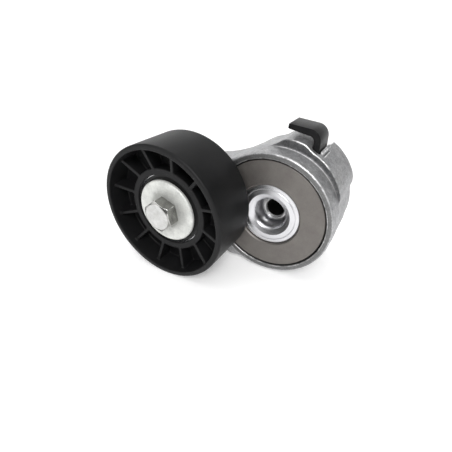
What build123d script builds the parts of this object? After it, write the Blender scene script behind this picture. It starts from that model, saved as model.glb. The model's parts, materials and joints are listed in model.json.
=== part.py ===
"""Belt tensioner idler: a spring-loaded cast arm that carries a smooth moulded pulley.

Frame: millimetres, +Z up, +Y along the pivot axis from the pulley side to the engine side.
The origin is on the pivot axis, in the plane of the rear mounting face.
"""

from math import atan2, cos, degrees, hypot, pi, radians, sin
import os

from build123d import *

# ---------------------------------------------------------------- driving dimensions
DEPTH = 38.0  # mounting face to the front rim of the cup
PULLEY_X, PULLEY_Z = -44.2, 1.73  # pulley axis from the pivot axis

# pulley
PULLEY_R = 35.0
PULLEY_FRONT, PULLEY_REAR = -67.7, -39.5
PULLEY_MID = (PULLEY_FRONT + PULLEY_REAR) / 2
RIM_INNER_R = 32.3
HUB_R = 21.9
HUB_HALF = 7.7
LIP_R = 18.6
WEB_HALF = 1.5
RIB_COUNT = 12
RIB_ANGLE = 16.0
RIB_THICK = 1.6
RIB_RISE = 2.9

# ball bearing, 17 x 40 x 12
BEARING_R, BEARING_BORE_R, BEARING_HALF = 20.0, 8.5, 6.0
BALL_R, BALL_PITCH_R, BALL_COUNT = 3.375, 14.25, 8
BALL_PLAY = 0.045
INNER_LAND_R, OUTER_LAND_R = 12.0, 16.6
SEAL_SEAT_R = 18.3

# pulley fastening
BOLT_AF, BOLT_TURN, BOLT_R = 14.4, 39.0, 5.0
HEAD_FRONT = -69.2
WASHER_R, WASHER_FRONT, WASHER_THICK = 16.2, -62.34, 1.6
SPIGOT_R, BOSS_NOSE_R = 8.5, 12.0
SLINGER_THICK, WASHER_FOOT_R = 1.0, 11.2

# cup and spring housing
CUP_R_FRONT, CUP_R = 31.3, 31.7
RIM_Y = -DEPTH
LEDGE_Y = RIM_Y + 10.0
CASTING_REAR = -1.0
MOUTH_R, CAVITY_R = 29.1, 28.2
FLOOR_FRONT, FLOOR_REAR = RIM_Y + 4.7, RIM_Y + 8.2
TUBE_R, TUBE_BORE_R, TUBE_REAR = 17.5, 14.3, RIM_Y + 12.2
SECTOR_R, LUG_R, FOOT_R = 34.8, 36.55, 33.27
SLOT_X0, SLOT_X1, SLOT_Y = 13.4, 17.45, RIM_Y + 13.0
SLOT_LIP_R, SLOT_LIP_WIDTH, SLOT_LIP_REAR = 36.1, 1.4, RIM_Y + 27.8
GROOVE_WIDTH, GROOVE_R, GROOVE_REAR = 0.45, 34.0, RIM_Y + 24.5

# neck and pulley boss
NECK_R, BOSS_R = 31.2, 14.2
NECK_FRONT, NECK_REAR = RIM_Y + 0.6, RIM_Y + 27.0
WEB_CORNER_X, WEB_CORNER_Z, WEB_CORNER_R = -21.0, -25.9, 5.0
WEB_REAR = RIM_Y + 9.0
NECK_ROUND = 2.2
CORE_IN_R, CORE_OUT_R, CORE_FRONT = 7.6, 10.8, RIM_Y + 12.0

# pivot
SHAFT_R = 13.0
PIVOT_PLAY = 0.04
HUB_FACE_R, SHOULDER_R = 16.1, 17.2
BOWL_R, CREST_R = 7.9, 11.2
DISC_R, DISC_THICK = 28.6, 2.2
SLEEVE_R, SLEEVE_BORE_R, SLEEVE_FRONT = 6.6, 4.5, RIM_Y + 9.3
PLATE_R, PLATE_FRONT, PLATE_BORE_R = 27.3, -4.0, 11.0
PIN_R, PIN_OUT, PIN_Z = 3.0, 6.0, 20.0
PIN_SHANK_R, PIN_RELIEF = 2.4, 0.4
PIN_RECESS_R, PIN_RECESS = 3.4, 0.6
ARM_TRAVEL = 40.0
TANG_ANGLE, TANG_HALF, STOP_WIDTH, STOP_GAP = 270.0, 8.0, 12.0, 0.9

# flat spiral spring
STRIP_THICK, STRIP_WIDTH = 3.2, 14.0
STRIP_FRONT = RIM_Y + 13.3
COIL_IN_R, COIL_OUT_R, COIL_TURNS = 15.9, 26.3, 2.62
COIL_END_ANGLE = 72.0
TANG_ROOT_R, TANG_BEND_R = 9.0, 3.0
HOOK_X, HOOK_RISE_Z = 15.5, 35.3
HOOK_BEND_R, HOOK_TURN, HOOK_TAIL = 4.2, 83.5, 10.4
TIP_TAPER = 0.9
SLOT_PLAY = 0.35


# ---------------------------------------------------------------- helpers
def polar(radius, angle):
    return radius * cos(radians(angle)), radius * sin(radians(angle))


def extruded(face, y_front, y_rear):
    """A face drawn in X and Z, stretched from y_front back to y_rear."""
    return extrude(Plane.XZ.offset(-y_rear) * face, y_rear - y_front)


def turned(points):
    """A closed outline of (radius, y) points, turned about the Y axis."""
    return revolve(make_face(Polyline(*points, close=True)), Axis.Y)


def ring(r_out, r_in, y_front, y_rear):
    return turned([(r_in, y_front), (r_out, y_front), (r_out, y_rear), (r_in, y_rear)])


def rod(radius, y_front, y_rear):
    return extruded(Circle(radius), y_front, y_rear)


def at_pulley(shape):
    return Pos(PULLEY_X, 0, PULLEY_Z) * shape


def bar(x0, x1, y0, y1, z0, z1):
    middle = Pos((x0 + x1) / 2, (y0 + y1) / 2, (z0 + z1) / 2)
    return middle * Box(x1 - x0, y1 - y0, z1 - z0)


def block(r_in, r_out, angle_from, angle_to, y_front, y_rear):
    """A piece of a ring between two angles."""
    outline = Polyline(
        polar(r_in, angle_from),
        polar(r_out * 1.3, angle_from),
        polar(r_out * 1.6, (angle_from + angle_to) / 2),
        polar(r_out * 1.3, angle_to),
        polar(r_in, angle_to),
        close=True,
    )
    return extruded(make_face(outline), y_front, y_rear) & ring(r_out, r_in, y_front, y_rear)


# ---------------------------------------------------------------- spring
def coil_point(turn):
    """A point of the spiral, from 0 at its inner end to 1 at its outer end."""
    angle = COIL_END_ANGLE + 360 * COIL_TURNS * (1 - turn)
    return polar(COIL_IN_R + (COIL_OUT_R - COIL_IN_R) * turn, angle)


def arc_points(centre, radius, start, end, count):
    steps = [start + (end - start) * i / count for i in range(count + 1)]
    return [(centre[0] + radius * cos(radians(a)), centre[1] + radius * sin(radians(a))) for a in steps]


def spring_path():
    """The strip's centre line: inner tang, spiral, bend, rise through the slot and hook."""
    first = coil_point(0)
    base = degrees(atan2(first[1], first[0]))
    bend = polar(COIL_IN_R - TANG_BEND_R, base)
    lead = [polar(TANG_ROOT_R, base + 17), polar(TANG_ROOT_R + 1.6, base + 15)]
    inner = arc_points(bend, TANG_BEND_R, base + 70, base + 15, 3)
    coil = [coil_point(i / 44) for i in range(1, 44)]
    last = coil_point(1)
    slope = COIL_END_ANGLE - 90
    foot_r = 3.7
    run = (HOOK_X - last[0] - foot_r * (1 - sin(radians(slope)))) / cos(radians(slope))
    corner = (last[0] + run * cos(radians(slope)), last[1] + run * sin(radians(slope)))
    centre = (corner[0] - foot_r * sin(radians(slope)), corner[1] + foot_r * cos(radians(slope)))
    outer = arc_points(centre, foot_r, slope - 90, 0, 6)
    rise = [(HOOK_X, centre[1] + (HOOK_RISE_Z - centre[1]) * i / 3) for i in (1, 2)]
    hook = arc_points((HOOK_X - HOOK_BEND_R, HOOK_RISE_Z), HOOK_BEND_R, 0, HOOK_TURN, 6)
    heading = radians(90 + HOOK_TURN)
    end = hook[-1]
    tail = [(end[0] + s * cos(heading), end[1] + s * sin(heading)) for s in (HOOK_TAIL / 2, HOOK_TAIL)]
    return lead + inner + coil + [last] + outer + rise + hook + tail


def strip(path, thickness, y_front, y_rear, taper=0.0):
    """A band that follows a path drawn in X and Z, thinner at its tip by the taper."""
    left, right = [], []
    for i, (x, z) in enumerate(path):
        before = path[max(i - 1, 0)]
        after = path[min(i + 1, len(path) - 1)]
        dx, dz = after[0] - before[0], after[1] - before[1]
        pressed = taper * max(0, i + 3 - len(path)) / 2
        under = (thickness / 2 - pressed) / hypot(dx, dz)
        over = thickness / 2 / hypot(dx, dz)
        left.append((x - dz * under, z + dx * under))
        right.append((x + dz * over, z - dx * over))
    edges = Spline(*left) + Line(left[-1], right[-1]) + Spline(*reversed(right)) + Line(right[0], left[0])
    return extruded(make_face(edges), y_front, y_rear)


def torsion_spring():
    return strip(spring_path(), STRIP_THICK, STRIP_FRONT, STRIP_FRONT + STRIP_WIDTH, TIP_TAPER)


# ---------------------------------------------------------------- arm
def housing_outline():
    """The thick side of the housing: foot end, plain sector, lug and its fall to the neck."""
    profile = [
        (8, CUP_R - 2.2),
        (13, CUP_R - 1.4),
        (17, CUP_R - 0.4),
        (20.5, CUP_R + 0.8),
        (25, CUP_R + 1.7),
        (30, SECTOR_R - 0.9),
        (37, SECTOR_R - 0.5),
        (45, SECTOR_R - 0.2),
        (58, SECTOR_R),
        (64, SECTOR_R),
        (67, SECTOR_R + 0.6),
        (70, LUG_R - 0.4),
        (73, LUG_R),
        (82, LUG_R),
        (88, LUG_R - 0.9),
        (94, CUP_R + 1.5),
        (101, CUP_R - 0.1),
        (106, CUP_R - 1.5),
    ]
    points = [polar(radius, angle) for angle, radius in profile]
    return make_face(Spline(*points) + Polyline(points[-1], (0, 0), points[0]))


def foot_outline():
    """A pad on the underside, with its ends run out into the housing wall."""
    low, high = polar(FOOT_R, 258), polar(FOOT_R, 282)
    crown = ThreePointArc(low, (0, -FOOT_R), high)
    root = [polar(CUP_R - 1.5, 290), (0, -20), polar(CUP_R - 1.5, 250)]
    left = Line(root[2], low)
    right = Line(high, root[0])
    return make_face(left + crown + right + Polyline(*root))


def neck_outline(cup_r, boss_r):
    """Two circles joined by their outer tangents."""
    span = hypot(PULLEY_X, PULLEY_Z)
    base = degrees(atan2(PULLEY_Z, PULLEY_X))
    lean = degrees(pi / 2 - (cup_r - boss_r) / span)
    corners = []
    for angle in (base - lean, base + lean):
        near = polar(cup_r, angle)
        far = polar(boss_r, angle)
        corners.append((near, (PULLEY_X + far[0], PULLEY_Z + far[1])))
    (top, top_far), (low, low_far) = corners
    web = make_face(Polyline(top, top_far, low_far, low, close=True))
    return web + Circle(cup_r) + Pos(PULLEY_X, PULLEY_Z) * Circle(boss_r)


def lower_web():
    """The flat underside of the neck, which runs level from the cup to a rounded corner."""
    corner = Pos(WEB_CORNER_X, WEB_CORNER_Z) * Circle(WEB_CORNER_R)
    x, z = WEB_CORNER_X, WEB_CORNER_Z
    out = polar(WEB_CORNER_R, 232)
    fill = Polyline(
        (0, z - WEB_CORNER_R),
        (x, z - WEB_CORNER_R),
        (x + out[0], z + out[1]),
        (PULLEY_X + 2, PULLEY_Z - BOSS_R + 1.0),
        (PULLEY_X + 10, PULLEY_Z),
        (-10, 0),
        close=True,
    )
    return make_face(fill) + corner


def boss_core():
    """A ring-shaped coring pocket in the back of the boss, around the bolt's thread."""
    core = ring(CORE_OUT_R, CORE_IN_R, CORE_FRONT, NECK_REAR + 1)
    for angle in (20, 140, 260):
        spoke = bar(CORE_IN_R - 1, CORE_OUT_R + 1, CORE_FRONT - 1, NECK_REAR + 2, -1.3, 1.3)
        core = core - spoke.rotate(Axis.Y, -angle)
    return at_pulley(core)


def arm_casting():
    shell = turned(
        [
            (0, RIM_Y),
            (CUP_R_FRONT - 0.4, RIM_Y),
            (CUP_R_FRONT, RIM_Y + 0.4),
            (CUP_R, LEDGE_Y),
            (CUP_R - 0.4, CASTING_REAR - 0.5),
            (CUP_R - 0.9, CASTING_REAR),
            (0, CASTING_REAR),
        ]
    )
    body = shell + extruded(housing_outline(), LEDGE_Y, CASTING_REAR)
    lip = ring(SLOT_LIP_R, CAVITY_R + 1.0, SLOT_Y, SLOT_LIP_REAR)
    body = body + (lip & bar(SLOT_X1, SLOT_X1 + SLOT_LIP_WIDTH, RIM_Y, 0, 26.0, 42.0))
    body = body + extruded(foot_outline(), LEDGE_Y - 2.0, CASTING_REAR - 1.0)
    neck = extruded(neck_outline(NECK_R, BOSS_R), NECK_FRONT, NECK_REAR)
    body = body + fillet(neck.edges().group_by(Axis.Y)[-1], NECK_ROUND)
    body = body + extruded(lower_web(), NECK_FRONT, WEB_REAR)
    nose_front = PULLEY_MID + BEARING_HALF + SLINGER_THICK
    body = body + at_pulley(rod(BOSS_NOSE_R, nose_front, NECK_FRONT))
    body = body + at_pulley(rod(SPIGOT_R, PULLEY_MID - BEARING_HALF + 0.5, nose_front))
    body = body - rod(MOUTH_R, RIM_Y - 1, FLOOR_FRONT)
    body = body - ring(CAVITY_R, TUBE_R, FLOOR_REAR, TUBE_REAR)
    body = body - rod(CAVITY_R, TUBE_REAR, CASTING_REAR + 1)
    body = body - rod(TUBE_BORE_R, FLOOR_FRONT - 1, TUBE_REAR + 1)
    body = body - boss_core()
    body = body - bar(SLOT_X0, SLOT_X1, SLOT_Y, CASTING_REAR + 1, 22.0, 42.0)
    groove_x = SLOT_X1 + SLOT_LIP_WIDTH
    groove = ring(42.0, GROOVE_R, SLOT_Y, GROOVE_REAR)
    body = body - (groove & bar(groove_x, groove_x + GROOVE_WIDTH, RIM_Y, 0, 26.0, 42.0))
    hook = [point for point in spring_path() if hypot(*point) > COIL_OUT_R - 0.5]
    body = body - strip(hook, STRIP_THICK + 2 * SLOT_PLAY, SLOT_Y, CASTING_REAR + 1)
    body = body - at_pulley(rod(BOLT_R, PULLEY_FRONT, NECK_REAR + 1))
    first = TANG_ANGLE - TANG_HALF - STOP_GAP
    second = TANG_ANGLE + TANG_HALF + STOP_GAP + ARM_TRAVEL
    for start in (first - STOP_WIDTH, second):
        stop = block(24.5, CAVITY_R + 0.4, start, start + STOP_WIDTH, -9.0, PLATE_FRONT - 0.8)
        body = body + stop
    return body


def front_bush():
    return ring(TUBE_BORE_R, SHAFT_R + PIVOT_PLAY, FLOOR_FRONT, TUBE_REAR)


def rear_bush():
    return ring(CAVITY_R, PLATE_R + PIVOT_PLAY, PLATE_FRONT + 0.2, CASTING_REAR)


def friction_ring():
    front = RIM_Y + DISC_THICK + 0.3
    body = ring(DISC_R, SHOULDER_R + 0.4, front, FLOOR_FRONT)
    for k in range(6):
        groove = bar(19.5, 30.0, front - 1, front + 0.8, -0.9, 0.9)
        body = body - groove.rotate(Axis.Y, 60 * k + 30)
    return body


def pulley_bolt():
    hexagon = RegularPolygon(BOLT_AF / 2, 6, major_radius=False, rotation=BOLT_TURN)
    head = extruded(hexagon, HEAD_FRONT, WASHER_FRONT)
    crown = turned(
        [
            (0, HEAD_FRONT + 0.35),
            (5.6, HEAD_FRONT + 0.35),
            (6.3, HEAD_FRONT),
            (7.1, HEAD_FRONT),
            (9.0, HEAD_FRONT + 1.0),
            (9.0, WASHER_FRONT),
            (0, WASHER_FRONT),
        ]
    )
    shank = rod(BOLT_R - 0.05, WASHER_FRONT, RIM_Y + 20.0)
    return at_pulley((head & crown) + shank)


def dust_washer():
    back = WASHER_FRONT + WASHER_THICK
    seat = PULLEY_MID - BEARING_HALF
    body = turned(
        [
            (BOLT_R + 0.2, WASHER_FRONT),
            (WASHER_R - 0.5, WASHER_FRONT),
            (WASHER_R, WASHER_FRONT + 0.5),
            (WASHER_R, back),
            (WASHER_FOOT_R, back),
            (WASHER_FOOT_R, seat),
            (BOLT_R + 0.2, seat),
        ]
    )
    return at_pulley(body)


def rear_slinger():
    seat = PULLEY_MID + BEARING_HALF
    flange = ring(WASHER_R, SPIGOT_R, seat + 0.35, seat + SLINGER_THICK)
    foot = ring(WASHER_FOOT_R, SPIGOT_R, seat, seat + 0.4)
    return at_pulley(flange + foot)


# ---------------------------------------------------------------- bearing and pulley
def race():
    """The groove that the balls run in, as a solid ring to cut away."""
    return revolve(Plane.XY * Pos(BALL_PITCH_R, PULLEY_MID) * Circle(BALL_R + BALL_PLAY), Axis.Y)


def seal_seats():
    seats = Part()
    for side in (-1, 1):
        ends = sorted((PULLEY_MID + side * (BEARING_HALF - 1.6), PULLEY_MID + side * (BEARING_HALF + 1)))
        seats = seats + ring(SEAL_SEAT_R, OUTER_LAND_R - 1, *ends)
    return seats


def bearing_inner_ring():
    body = ring(INNER_LAND_R, BEARING_BORE_R, PULLEY_MID - BEARING_HALF, PULLEY_MID + BEARING_HALF)
    return at_pulley(body - race())


def bearing_outer_ring():
    body = ring(BEARING_R, OUTER_LAND_R, PULLEY_MID - BEARING_HALF, PULLEY_MID + BEARING_HALF)
    return at_pulley(body - race() - seal_seats())


def seal(side):
    ends = sorted((PULLEY_MID + side * (BEARING_HALF - 1.6), PULLEY_MID + side * (BEARING_HALF - 0.6)))
    return at_pulley(ring(SEAL_SEAT_R, INNER_LAND_R + 0.35, *ends))


def around_bearing(shape):
    """Copies of a shape made at the first ball's place, one for each ball."""
    return [shape.rotate(Axis.Y, -360 * k / BALL_COUNT - 9) for k in range(BALL_COUNT)]


def bearing_balls():
    ball = Pos(BALL_PITCH_R, PULLEY_MID, 0) * Sphere(BALL_R)
    return Compound(children=[at_pulley(copy) for copy in around_bearing(ball)])


def bearing_cage():
    body = ring(BALL_PITCH_R + 1.1, BALL_PITCH_R - 1.1, PULLEY_MID - 4.1, PULLEY_MID + 4.1)
    pocket = Pos(BALL_PITCH_R, PULLEY_MID, 0) * Rot(0, 90, 0) * Cylinder(BALL_R + 0.1, 8)
    for copy in around_bearing(pocket):
        body = body - copy
    return at_pulley(body)


def pulley_rib(angle):
    """One radial rib, deeper at the rim than at the hub on both faces."""
    root, tip = HUB_HALF, HUB_HALF + RIB_RISE
    outline = Polyline(
        (HUB_R - 0.6, PULLEY_MID - root),
        (RIM_INNER_R + 0.6, PULLEY_MID - tip),
        (RIM_INNER_R + 0.6, PULLEY_MID + tip),
        (HUB_R - 0.6, PULLEY_MID + root),
        close=True,
    )
    return extrude(make_face(outline), RIB_THICK / 2, both=True).rotate(Axis.Y, -angle)


def pulley_wheel():
    rim = ring(PULLEY_R, RIM_INNER_R, PULLEY_FRONT, PULLEY_REAR)
    rim = fillet(rim.edges().filter_by(GeomType.CIRCLE).group_by(SortBy.RADIUS)[-1], 1.2)
    hub = ring(HUB_R, BEARING_R, PULLEY_MID - HUB_HALF, PULLEY_MID + HUB_HALF)
    web = ring(RIM_INNER_R + 0.5, HUB_R - 0.5, PULLEY_MID - WEB_HALF, PULLEY_MID + WEB_HALF)
    body = rim + hub + web
    for side in (-1, 1):
        ends = sorted((PULLEY_MID + side * BEARING_HALF, PULLEY_MID + side * HUB_HALF))
        body = body + ring(BEARING_R + 0.5, LIP_R, *ends)
    for k in range(RIB_COUNT):
        body = body + pulley_rib(RIB_ANGLE + 360 * k / RIB_COUNT)
    return at_pulley(body)


# ---------------------------------------------------------------- fixed side
def pivot_shaft():
    body = turned(
        [
            (SLEEVE_R, RIM_Y + 11.8),
            (7.4, RIM_Y + 11.6),
            (BOWL_R, RIM_Y + 10.8),
            (BOWL_R, RIM_Y + 3.7),
            (BOWL_R + 0.1, RIM_Y + 3.1),
            (BOWL_R + 0.6, RIM_Y + 2.5),
            (CREST_R - 0.3, RIM_Y + 0.95),
            (CREST_R, RIM_Y + 0.75),
            (CREST_R + 0.4, RIM_Y + 0.75),
            (13.4, RIM_Y + 0.9),
            (13.7, RIM_Y + 1.15),
            (14.0, RIM_Y + 0.95),
            (15.6, RIM_Y + 1.15),
            (HUB_FACE_R, RIM_Y + 1.5),
            (HUB_FACE_R, RIM_Y + DISC_THICK),
            (SHOULDER_R, RIM_Y + DISC_THICK),
            (SHOULDER_R, FLOOR_FRONT - 0.35),
            (SHAFT_R, FLOOR_FRONT - 0.35),
            (SHAFT_R, PLATE_FRONT),
            (PLATE_BORE_R, PLATE_FRONT),
            (PLATE_BORE_R, 0),
            (SLEEVE_R, 0),
        ]
    )
    path = spring_path()[:6]
    start_r, start_angle = hypot(*path[0]), degrees(atan2(path[0][1], path[0][0]))
    path.insert(0, polar(start_r - 0.5, start_angle))
    y_rear = STRIP_FRONT + STRIP_WIDTH + 0.6
    return body - strip(path, STRIP_THICK + 0.6, STRIP_FRONT - 0.4, y_rear)


def bolt_sleeve():
    return turned(
        [
            (SLEEVE_BORE_R, SLEEVE_FRONT + 1.2),
            (5.3, SLEEVE_FRONT + 0.2),
            (5.6, SLEEVE_FRONT),
            (SLEEVE_R - 0.3, SLEEVE_FRONT),
            (SLEEVE_R, SLEEVE_FRONT + 0.3),
            (SLEEVE_R, 0),
            (SLEEVE_BORE_R, 0),
        ]
    )


def thrust_disc():
    body = ring(DISC_R, HUB_FACE_R, RIM_Y, RIM_Y + DISC_THICK)
    return chamfer(body.edges().group_by(Axis.Y)[0], 0.3)


def spring_guide():
    front = STRIP_FRONT + STRIP_WIDTH + 0.8
    return ring(23.0, SHAFT_R, front, front + 1.3)


def base_plate():
    body = ring(PLATE_R, PLATE_BORE_R, PLATE_FRONT, 0)
    tang = block(21.0, 26.6, TANG_ANGLE - TANG_HALF, TANG_ANGLE + TANG_HALF, -8.6, PLATE_FRONT + 0.5)
    body = body + tang
    body = body - Pos(0, 0, PIN_Z) * rod(PIN_RECESS_R, -PIN_RECESS, 1.0)
    return body - Pos(0, 0, PIN_Z) * rod(PIN_SHANK_R, PLATE_FRONT + 1.0, 1.0)


def locating_pin():
    head = rod(PIN_R, PIN_RELIEF, PIN_OUT)
    head = chamfer(head.edges().sort_by(Axis.Y)[-1], 0.6)
    return Pos(0, 0, PIN_Z) * (head + rod(PIN_SHANK_R, PLATE_FRONT + 1.0, PIN_RELIEF + 0.2))


PARTS = {
    "pivot_shaft": pivot_shaft,
    "bolt_sleeve": bolt_sleeve,
    "thrust_disc": thrust_disc,
    "spring_guide": spring_guide,
    "base_plate": base_plate,
    "locating_pin": locating_pin,
    "arm_casting": arm_casting,
    "friction_ring": friction_ring,
    "front_bush": front_bush,
    "rear_bush": rear_bush,
    "torsion_spring": torsion_spring,
    "pulley_bolt": pulley_bolt,
    "dust_washer": dust_washer,
    "rear_slinger": rear_slinger,
    "bearing_inner_ring": bearing_inner_ring,
    "bearing_outer_ring": bearing_outer_ring,
    "front_seal": lambda: seal(-1),
    "rear_seal": lambda: seal(1),
    "bearing_balls": bearing_balls,
    "bearing_cage": bearing_cage,
    "pulley_wheel": pulley_wheel,
}

os.makedirs("parts", exist_ok=True)
for name, build in PARTS.items():
    export_step(build(), f"parts/{name}.step")
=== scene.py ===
"""Looks for the belt tensioner idler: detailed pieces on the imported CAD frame, lights and camera."""

import json
import math

import bpy
import numpy as np
import openvdb
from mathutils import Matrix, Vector


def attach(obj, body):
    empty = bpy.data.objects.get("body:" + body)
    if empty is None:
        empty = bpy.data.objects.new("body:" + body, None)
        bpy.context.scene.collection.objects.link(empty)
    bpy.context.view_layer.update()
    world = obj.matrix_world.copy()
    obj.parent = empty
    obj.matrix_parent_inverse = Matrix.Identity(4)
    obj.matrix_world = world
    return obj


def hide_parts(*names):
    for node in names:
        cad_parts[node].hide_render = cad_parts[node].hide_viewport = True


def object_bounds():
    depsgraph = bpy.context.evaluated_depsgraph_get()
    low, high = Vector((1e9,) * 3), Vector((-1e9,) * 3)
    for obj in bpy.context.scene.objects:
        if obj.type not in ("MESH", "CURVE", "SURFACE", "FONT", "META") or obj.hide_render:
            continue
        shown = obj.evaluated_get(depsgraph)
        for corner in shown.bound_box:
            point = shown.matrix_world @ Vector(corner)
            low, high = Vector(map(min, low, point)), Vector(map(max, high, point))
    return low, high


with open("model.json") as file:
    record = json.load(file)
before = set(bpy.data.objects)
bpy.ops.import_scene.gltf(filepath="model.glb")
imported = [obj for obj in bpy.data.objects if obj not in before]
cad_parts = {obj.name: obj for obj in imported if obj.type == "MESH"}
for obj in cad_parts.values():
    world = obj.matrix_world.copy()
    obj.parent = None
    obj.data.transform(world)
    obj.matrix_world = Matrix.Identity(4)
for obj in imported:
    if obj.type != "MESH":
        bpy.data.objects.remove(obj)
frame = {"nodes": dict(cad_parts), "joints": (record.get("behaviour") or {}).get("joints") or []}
cad_box = [list(corner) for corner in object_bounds()]
nodes = frame["nodes"]

MM = 0.001

# ------------------------------------------------------------------ sizes, mm, in the frame of the CAD
joint_at = {j["name"]: j.get("pos_m") for j in frame["joints"]}
PULLEY = (joint_at["pulley_spin"][0] / MM, joint_at["pulley_spin"][2] / MM)
PIVOT = (0.0, 0.0)
RIM_Y = -38.0
LEDGE_Y = -28.0
REAR_Y = -1.0
PULLEY_FRONT, PULLEY_REAR = -67.7, -39.5
PULLEY_MID = (PULLEY_FRONT + PULLEY_REAR) / 2


# ------------------------------------------------------------------ mesh helpers
def new_object(name, verts, faces, smooth=True):
    mesh = bpy.data.meshes.new(name)
    points = [tuple(v) for v in np.asarray(verts, float) * MM]
    mesh.from_pydata(points, [], [tuple(map(int, f)) for f in faces])
    mesh.validate()
    if smooth:
        mesh.shade_smooth()
    obj = bpy.data.objects.new(name, mesh)
    bpy.context.scene.collection.objects.link(obj)
    return obj


def rounded(points, closed=True):
    """A profile of (r, y, fillet radius) corners as points, with a guard point beside each fillet."""
    out = []
    n = len(points)
    for i, (r, y, f) in enumerate(points):
        here = np.array((r, y), float)
        if not closed and i in (0, n - 1):
            out.append(here)
            continue
        before = np.array(points[(i - 1) % n][:2], float)
        after = np.array(points[(i + 1) % n][:2], float)
        a, b = before - here, after - here
        la, lb = np.linalg.norm(a), np.linalg.norm(b)
        a, b = a / la, b / lb
        if f <= 0:
            out.append(here)
            continue
        turn = math.acos(np.clip(-(a @ b), -1, 1))
        if turn < 0.02:
            out.append(here)
            continue
        reach = min(f * math.tan(turn / 2), 0.45 * la, 0.45 * lb)
        radius = reach / math.tan(turn / 2)
        start, end = here + a * reach, here + b * reach
        centre = here + (a + b) / np.linalg.norm(a + b) * (radius / math.cos(turn / 2))
        guard = min(0.35 * f + 0.05, 0.04 * min(la, lb) + 0.02)
        out.append(start + a * guard)
        steps = max(2, int(math.degrees(turn) / 14))
        for k in range(steps + 1):
            t = k / steps
            p = start * (1 - t) + end * t - centre
            out.append(centre + p / np.linalg.norm(p) * radius)
        out.append(end + b * guard)
    return out


def lathe(name, profile, axis=PIVOT, segments=192, closed=True):
    """A profile of (r, y, fillet radius) corners turned about an axis along Y."""
    pts = rounded(profile, closed)
    n = len(pts)
    angles = np.arange(segments) * 2 * math.pi / segments
    verts = []
    for r, y in pts:
        verts += [(axis[0] + r * math.cos(a), y, axis[1] + r * math.sin(a)) for a in angles]
    faces = []
    last = n if closed else n - 1
    for i in range(last):
        j = (i + 1) % n
        for k in range(segments):
            m = (k + 1) % segments
            faces.append((i * segments + k, i * segments + m, j * segments + m, j * segments + k))
    obj = new_object(name, verts, faces)
    face_outward(obj)
    return obj


def face_outward(obj):
    """Turns all faces over if the mesh's volume comes out negative."""
    mesh = obj.data
    mesh.calc_loop_triangles()
    co = np.zeros(len(mesh.vertices) * 3, np.float32)
    mesh.vertices.foreach_get("co", co)
    co = co.reshape(-1, 3).astype(float)
    co -= co.mean(0)
    tri = np.zeros(len(mesh.loop_triangles) * 3, np.int32)
    mesh.loop_triangles.foreach_get("vertices", tri)
    a, b, c = (co[tri.reshape(-1, 3)[:, k]] for k in range(3))
    if np.einsum("ij,ij->i", a, np.cross(b, c)).sum() < 0:
        mesh.flip_normals()


# ------------------------------------------------------------------ signed distance helpers
def smin(a, b, k):
    h = np.clip(0.5 + 0.5 * (b - a) / k, 0, 1)
    return b + (a - b) * h - k * h * (1 - h)


def smax(a, b, k):
    return -smin(-a, -b, k)


def slab(value, low, high):
    return np.maximum(low - value, value - high)


def step_up(value, low, high):
    t = np.clip((value - low) / (high - low), 0, 1)
    return t * t * (3 - 2 * t)


def two_circles(x, z, x0, z0, r0, x1, z1, r1):
    """Distance to two circles joined by their outer tangents."""
    span = math.hypot(x1 - x0, z1 - z0)
    ux, uz = (x1 - x0) / span, (z1 - z0) / span
    along = (x - x0) * ux + (z - z0) * uz
    across = np.abs(-(x - x0) * uz + (z - z0) * ux)
    b = (r0 - r1) / span
    a = math.sqrt(1 - b * b)
    k = a * along - b * across
    near = np.hypot(across, along) - r0
    far = np.hypot(across, along - span) - r1
    side = across * a + along * b - r0
    return np.where(k < 0, near, np.where(k > a * span, far, side))


def lattice_noise(p, size, seed):
    """Smooth random values in -1..1 that change over about one size."""
    rng = np.random.RandomState(seed)
    table = rng.uniform(-1, 1, (32, 32, 32)).astype(np.float32)
    q = p / size + 1000.0
    i = np.floor(q).astype(int)
    f = q - i
    f = f * f * (3 - 2 * f)
    out = 0
    for dx in (0, 1):
        for dy in (0, 1):
            for dz in (0, 1):
                w = f[:, 0] if dx else 1 - f[:, 0]
                w = w * (f[:, 1] if dy else 1 - f[:, 1])
                w = w * (f[:, 2] if dz else 1 - f[:, 2])
                out = out + w * table[(i[:, 0] + dx) % 32, (i[:, 1] + dy) % 32, (i[:, 2] + dz) % 32]
    return out


def gradient(distance, p, reach):
    """Slope of the distance along X, Y and Z at each point."""
    g = np.empty_like(p)
    for k in range(3):
        up, down = p.copy(), p.copy()
        up[:, k] += reach
        down[:, k] -= reach
        g[:, k] = (distance(*up.T) - distance(*down.T)) / (2 * reach)
    return g


def curvature(distance, p, reach):
    """Sum of the two surface curvatures at each point, 1/mm; an outer edge is positive."""
    total = -6 * distance(*p.T)
    for k in range(3):
        for side in (-reach, reach):
            q = p.copy()
            q[:, k] += side
            total = total + distance(*q.T)
    return total / reach**2


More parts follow.
